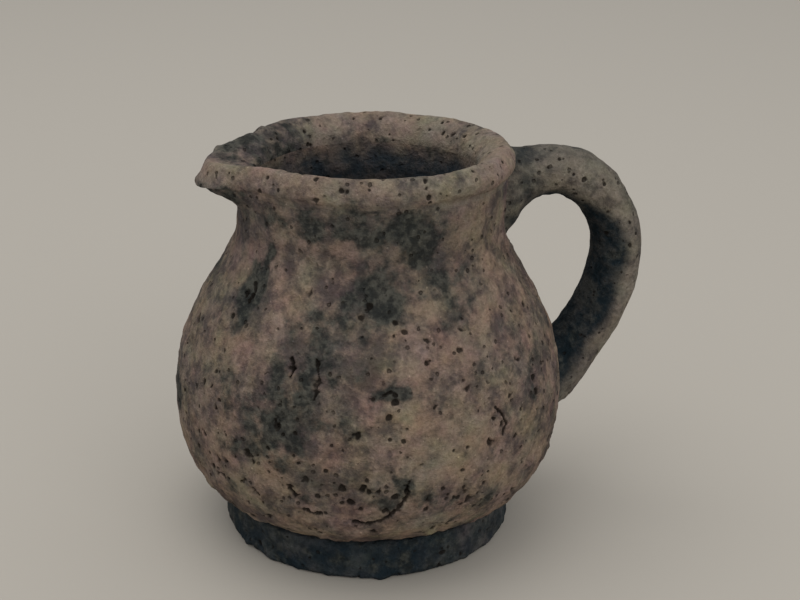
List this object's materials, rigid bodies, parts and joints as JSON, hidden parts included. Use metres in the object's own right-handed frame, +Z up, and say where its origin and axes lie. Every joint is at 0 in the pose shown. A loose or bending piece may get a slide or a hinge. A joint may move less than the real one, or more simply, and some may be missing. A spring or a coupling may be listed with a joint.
{
  "type": "jug",
  "caption": "Small fired-clay jug with a round belly, a rolled rim pulled into a pouring spout, a ring foot and a loop handle.",
  "frame": {"origin": "on the table, under the middle of the jug's outline seen from above", "axes": "+Z up; +X from the spout side to the handle side; the foot's flat underside faces -Z"},
  "size_m": [0.123, 0.0986, 0.1],
  "materials": {
    "buff_clay": "unglazed fired clay, tan to grey-brown with dark smoke blotches and pores",
    "tan_clay": "unglazed fired clay, paler and rubbed smooth along the rim",
    "smoked_clay": "unglazed clay smoked nearly black, crumbly edge",
    "grey_clay": "unglazed clay, smoked dark on the inner side and grey-brown on the outer side"
  },
  "bodies": {
    "root": {"vessel_body": "buff_clay", "rim_spout": "tan_clay", "foot_ring": "smoked_clay", "handle": "grey_clay"}
  },
  "joints": []
}
